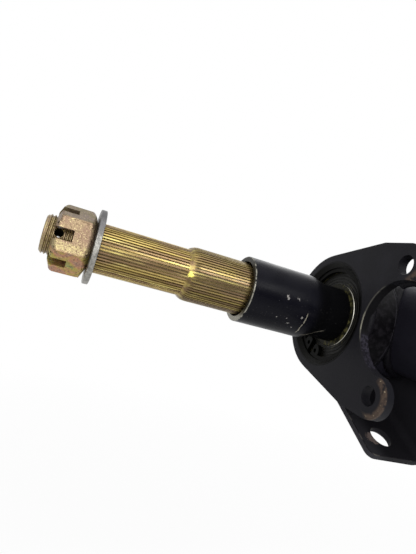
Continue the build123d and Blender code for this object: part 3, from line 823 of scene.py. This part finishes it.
def arm_seam(side, tube_y, tube_z, toward, count=260):
    """The seam where an arm meets a cross tube; toward is the way from the tube to the arm, +1 or -1 in Y."""
    seam_r, tube_r = ARM_R + 0.4, TUBE_R + 0.3
    path = []
    for index in range(count):
        angle = 2 * math.pi * index / count
        x = side * ARM_X + seam_r * math.cos(angle)
        z = ARM_RISE + seam_r * math.sin(angle)
        reach = math.sqrt(max(0.0, tube_r ** 2 - (z - tube_z) ** 2))
        path.append((x, tube_y + toward * reach, z))
    return path


def notch_seam(side, count=40):
    """The run of weld along the top of the notch, on the flange's back edge."""
    first, last, radius = 64.0, 116.0, NOTCH_R + 0.6
    turns = [math.radians(first + (last - first) * index / (count - 1)) for index in range(count)]
    return [(side * (FLANGE_BACK - 0.3), -NOTCH_FORWARD - radius * math.cos(turn),
             NOTCH_UP + radius * math.sin(turn)) for turn in turns]


def area_lamp(name, place, target, size, power):
    """A rectangular lamp that faces its target."""
    light = bpy.data.lights.new(name, "AREA")
    light.shape = "RECTANGLE"
    light.size, light.size_y = size
    light.energy = power
    lamp = bpy.data.objects.new(name, light)
    lamp.location = place
    lamp.rotation_euler = (Vector(target) - Vector(place)).to_track_quat("-Z", "Y").to_euler()
    bpy.context.scene.collection.objects.link(lamp)


def seen_rays(nodes):
    """1 for camera, glossy and transmission rays."""
    path = nodes.node("ShaderNodeLightPath").outputs
    seen = nodes.calc("MAXIMUM", path["Is Camera Ray"], path["Is Glossy Ray"])
    return nodes.calc("MAXIMUM", seen, path["Is Transmission Ray"])


def floor_white():
    """White to the camera far from the part, and matt enough near it to show a soft shadow."""
    material = bpy.data.materials.new("floor_white")
    material.use_nodes = True
    material.node_tree.nodes.clear()
    nodes = Nodes(material.node_tree)
    matt = nodes.node("ShaderNodeBsdfDiffuse", {"Color": rgb(FLOOR_SHADE, FLOOR_SHADE, FLOOR_SHADE)})
    glow = nodes.node("ShaderNodeEmission", {"Strength": 1.0})
    place = nodes.node("ShaderNodeTexCoord").outputs["Object"]
    distance = nodes.node("ShaderNodeVectorMath", {0: place}, operation="LENGTH").outputs["Value"]
    glow_share = nodes.node("ShaderNodeMapRange", {
        "Value": distance, "From Min": SHADOW_END, "From Max": PLAIN_START,
        "To Min": SHADOW_GLOW, "To Max": 1.0})
    share = nodes.times(seen_rays(nodes), glow_share.outputs["Result"])
    mixed = nodes.node("ShaderNodeMixShader", {0: share, 1: matt.outputs[0], 2: glow.outputs[0]})
    nodes.node("ShaderNodeOutputMaterial", {"Surface": mixed.outputs[0]})
    return material


def white_floor():
    """A wide white floor below the part."""
    corners = [(x * FLOOR_REACH, y * FLOOR_REACH, FLOOR_Z) for x, y in ((-1, -1), (1, -1), (1, 1), (-1, 1))]
    mesh = bpy.data.meshes.new("floor")
    mesh.from_pydata(corners, [], [(0, 1, 2, 3)])
    floor = bpy.data.objects.new("floor", mesh)
    bpy.context.scene.collection.objects.link(floor)
    mesh.materials.append(floor_white())


def white_world():
    """A world that is white where it is seen, and dimmer as a light."""
    world = bpy.data.worlds.new("studio")
    bpy.context.scene.world = world
    world.use_nodes = True
    nodes = Nodes(world.node_tree)
    ground = nodes.tree.nodes["Background"]
    strength = nodes.node("ShaderNodeMapRange", {
        "Value": seen_rays(nodes), "To Min": WORLD_LIGHT, "To Max": 1.0})
    nodes.put(ground.inputs["Color"], rgb(1.0, 1.0, 1.0))
    nodes.put(ground.inputs["Strength"], strength.outputs["Result"])


def camera():
    """The photograph's viewpoint, close to the shaft's end and level with its axis."""
    forward = Vector(CAMERA_FORWARD).normalized()
    right = forward.cross(Vector(CAMERA_UP)).normalized()
    up = right.cross(forward).normalized()
    made = bpy.data.cameras.new("camera")
    made.sensor_width = SENSOR_WIDTH
    made.lens = FOCAL_PIXELS / LONG_SIDE_PIXELS * SENSOR_WIDTH
    made.clip_start = CLIP_START
    seat = bpy.data.objects.new("camera", made)
    turned = Matrix((right, up, -forward)).transposed().to_4x4()
    seat.matrix_world = Matrix.Translation(millimetres(*CAMERA_PLACE)) @ turned
    bpy.context.scene.collection.objects.link(seat)
    bpy.context.scene.camera = seat


def finish_node(node, material):
    """Gives a node of the solids its finish."""
    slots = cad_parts[node].data.materials
    slots.clear()
    slots.append(material)


def soften_side(name):
    """Rounds the edges of one side's nut, washer, carrier, bracket and shock absorber's ear."""
    softened(f"{name}_nut", "axle", NUT_ROUNDING, NUT, segments=4, share=nut_share)
    softened(f"{name}_washer", "axle", WASHER_ROUNDING, WASHER)
    softened(f"{name}_bearing_carrier", "swing_arm", CARRIER_ROUNDING, CAST, CARRIER_EDGE)
    softened(f"{name}_lower_bracket", "swing_arm", BRACKET_ROUNDING, BRACKET, EDGE)
    softened(f"{name}_shock_ear", "swing_arm", SHOCK_EAR_ROUNDING, FRAME, EDGE)


def ridge_side(name, side):
    """The moulded ridges round one side's outer seal."""
    for ridge_name, radius in SEAL_RIDGES:
        path = circle(side, SEAL_FACE - RIDGE_SINK, radius, 96)
        bead(f"{name}_seal_{ridge_name}_ridge", path, RIDGE_R, SEAL, ripple=RIDGE_RIPPLE)


def weld_side(name, side):
    """The weld beads of one side: at the hub, the flange, the notch and both ends of the arm."""
    bead(f"{name}_hub_weld", circle(side, HUB_BACK - 0.9, TUBE_R + 0.9, 220), HUB_BEAD_R, WELD)
    bead(f"{name}_flange_weld", circle(side, FLANGE_BACK - 0.5, HUB_R + 0.2, 240), FLANGE_BEAD_R, WELD)
    bead(f"{name}_notch_weld", notch_seam(side), NOTCH_BEAD_R, WELD, closed=False)
    bead(f"{name}_arm_rear_weld", arm_seam(side, 0.0, 0.0, -1), ARM_BEAD_R, WELD)
    bead(f"{name}_arm_front_weld", arm_seam(side, PIVOT_Y, ARM_RISE, 1), ARM_BEAD_R, WELD)


camera()

SPLINE = spline_zinc()
NUT = nut_zinc()
THREAD = thread_zinc()
WASHER = washer_zinc()
SLEEVE = sleeve_black()
CAST = cast_black()
CARRIER_EDGE = carrier_edge()
EDGE = worn_edge()
BRACKET = bracket_black()
FRAME = frame_black()
WELD = weld_black()
RING = ring_black()
BEARING = bearing_steel()
SEAL = seal_rubber()
STEEL = plain_steel()
BALL = ball_steel()
CAGE = moulded("cage_plastic", rgb(0.16, 0.13, 0.08), rgb(0.22, 0.18, 0.11))
BUSH = moulded("bush_plastic", rgb(0.62, 0.59, 0.50), rgb(0.70, 0.67, 0.58))

MIDDLE_FINISHES = {
    "axle_shaft": SPLINE, "inner_spacer_tube": STEEL, "carrier_tube": FRAME, "pivot_tube": FRAME,
    "pivot_sleeve": STEEL,
}
SIDE_FINISHES = {
    "spacer_sleeve": SLEEVE, "snap_ring": RING, "bearing_outer_ring": BEARING, "bearing_inner_ring": BEARING,
    "bearing_balls": BALL, "bearing_cage": CAGE, "bearing_outer_seal": SEAL, "bearing_inner_seal": SEAL,
    "swing_arm": FRAME, "pivot_bush": BUSH,
}

for node_name, finish in MIDDLE_FINISHES.items():
    finish_node(node_name, finish)
for side_name, side_sign in SIDES:
    soften_side(side_name)
    for node_name, finish in SIDE_FINISHES.items():
        finish_node(f"{side_name}_{node_name}", finish)
    thread(f"{side_name}_thread", side_sign, THREAD)
    ridge_side(side_name, side_sign)
    weld_side(side_name, side_sign)

white_floor()
white_world()
for lamp_settings in LAMPS:
    area_lamp(*lamp_settings)

bpy.context.scene.view_settings.view_transform = "Standard"
